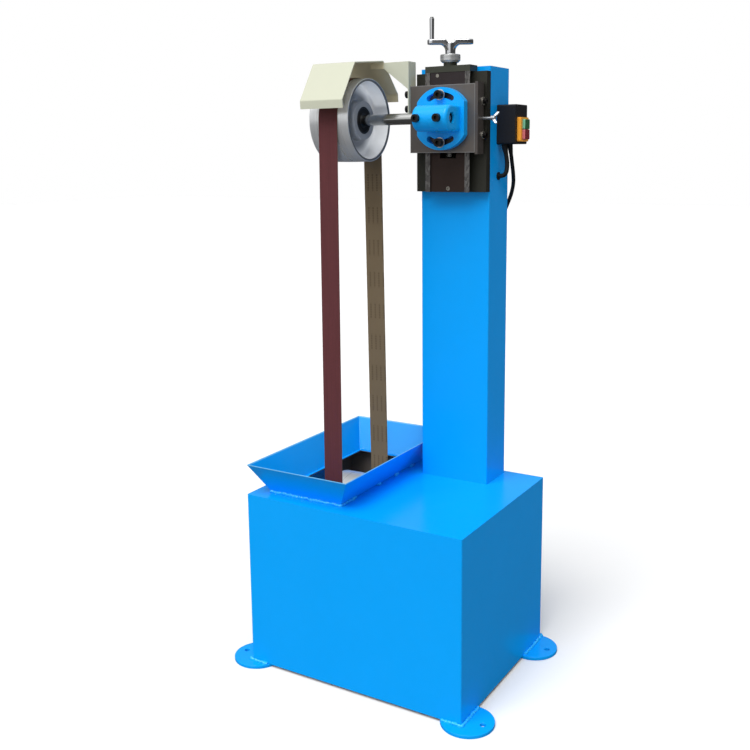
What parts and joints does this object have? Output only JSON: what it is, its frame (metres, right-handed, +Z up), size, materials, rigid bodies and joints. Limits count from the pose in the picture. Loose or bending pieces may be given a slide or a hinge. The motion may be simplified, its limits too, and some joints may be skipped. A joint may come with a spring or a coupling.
{
  "type": "vertical belt sander",
  "caption": "Floor-standing belt sander: sheet cabinet with tray, square column, dovetail slide with crank, swivelling idler wheel under a guard, upright abrasive belt and push-button switch.",
  "frame": {"origin": "centre of the four floor anchor holes, on the floor", "axes": "+Z up, -Y towards the operator at the belt's front run, +X from the belt towards the column"},
  "size_m": [0.6919, 0.524, 1.5324],
  "materials": {
    "blue_enamel": "gloss sprayed enamel",
    "cream_enamel": "gloss sprayed enamel",
    "motor_grey": "satin enamel",
    "dark_iron": "blackened, ground and oiled",
    "turned_aluminium": "cast, with turned rim",
    "bright_steel": "ground",
    "zinc_screw": "zinc plated",
    "black_screw": "black oxide",
    "chrome_plate": "polished",
    "bronze": "machined",
    "abrasive_cloth": "resin-bonded grit on cotton cloth",
    "black_plastic": "moulded, fine texture",
    "orange_plastic": "moulded",
    "green_plastic": "moulded",
    "red_plastic": "moulded",
    "black_rubber": "moulded"
  },
  "bodies": {
    "stand": {"cabinet_shell": "blue_enamel", "foot_plates": "blue_enamel", "side_cover": "blue_enamel", "side_cover_screws": "zinc_screw", "belt_tray": "blue_enamel", "column": "blue_enamel", "column_cap": "blue_enamel", "slide_base": "dark_iron", "channel_shield": "dark_iron", "slide_base_screws": "zinc_screw", "screw_bearing_block": "dark_iron", "bearing_block_screws": "black_screw", "abrasive_belt": "abrasive_cloth", "motor_rails": "blue_enamel", "motor_frame": "motor_grey", "motor_end_shields": "motor_grey", "motor_bearings": "bright_steel", "motor_stator": "bright_steel", "motor_fan_cover": "motor_grey", "motor_terminal_box": "motor_grey", "motor_bolts": "zinc_screw", "switch_box": "black_plastic", "switch_frame": "orange_plastic", "lead_boots": "black_rubber", "column_grommets": "black_rubber", "motor_lead": "black_rubber", "supply_lead": "black_rubber"},
    "carriage": {"carriage": "dark_iron", "gib_strip": "bright_steel", "side_strip": "dark_iron", "gib_screws": "zinc_screw", "feed_nut": "bronze", "feed_nut_screw": "black_screw", "guard_bracket": "cream_enamel", "guard_bracket_bolts": "black_screw", "belt_guard": "cream_enamel", "swivel_bolts": "black_screw", "swivel_washers": "zinc_screw"},
    "feed_screw": {"feed_screw": "bright_steel", "dial_collar": "bright_steel", "crank_handle": "chrome_plate", "grip_spindle": "bright_steel"},
    "crank_grip": {"crank_grip": "chrome_plate"},
    "swivel_arm": {"shaft_clamp": "blue_enamel", "clamp_set_screws": "black_screw", "idler_shaft": "bright_steel", "idler_inner_rings": "bright_steel", "idler_retainer": "black_screw"},
    "idler": {"idler_wheel": "turned_aluminium", "idler_outer_rings": "bright_steel", "idler_bearing_seals": "black_rubber"},
    "drive": {"motor_shaft": "bright_steel", "motor_rotor": "bright_steel", "motor_fan": "black_plastic", "drive_wheel": "turned_aluminium", "drive_key": "bright_steel", "drive_retainer": "black_screw"},
    "wing_screw": {"wing_screw": "zinc_screw"},
    "start_button": {"start_button": "green_plastic"},
    "stop_button": {"stop_button": "red_plastic"}
  },
  "joints": [
    {"name": "carriage_slide", "type": "slide", "parent": "stand", "child": "carriage", "axis": [0, 0, 1], "range_m": [-0.086, 0.027], "deforming": ["abrasive_belt"]},
    {"name": "feed_screw_turn", "type": "hinge", "parent": "stand", "child": "feed_screw", "pos_m": [0.095, 0.1, 1.44], "axis": [0, 0, 1], "range_deg": [-1954, 6202]},
    {"name": "grip_spin", "type": "hinge", "parent": "feed_screw", "child": "crank_grip", "pos_m": [0.059, 0.07837, 1.5], "axis": [0, 0, 1], "continuous": true},
    {"name": "head_swivel", "type": "hinge", "parent": "carriage", "child": "swivel_arm", "pos_m": [0.095, 0.0675, 1.305], "axis": [0, 1, 0], "range_deg": [-5, 5], "deforming": ["abrasive_belt"]},
    {"name": "idler_spin", "type": "hinge", "parent": "swivel_arm", "child": "idler", "pos_m": [-0.118, 0.0075, 1.305], "axis": [1, 0, 0], "continuous": true},
    {"name": "drive_spin", "type": "hinge", "parent": "stand", "child": "drive", "pos_m": [-0.118, 0.016, 0.3325], "axis": [1, 0, 0], "continuous": true},
    {"name": "wing_turn", "type": "hinge", "parent": "carriage", "child": "wing_screw", "pos_m": [0.19, 0.095, 1.305], "axis": [1, 0, 0], "range_deg": [0, 180]},
    {"name": "start_press", "type": "slide", "parent": "stand", "child": "start_button", "axis": [-1, 0, 0], "range_m": [0, 0.004], "stiffness_N_per_m": 600},
    {"name": "stop_press", "type": "slide", "parent": "stand", "child": "stop_button", "axis": [-1, 0, 0], "range_m": [0, 0.004], "stiffness_N_per_m": 600}
  ],
  "couplings": [
    {"joint": "feed_screw_turn", "follows": "carriage_slide", "rad_per_m": -1256.6},
    {"joint": "idler_spin", "follows": "drive_spin", "ratio": 1.1316}
  ]
}
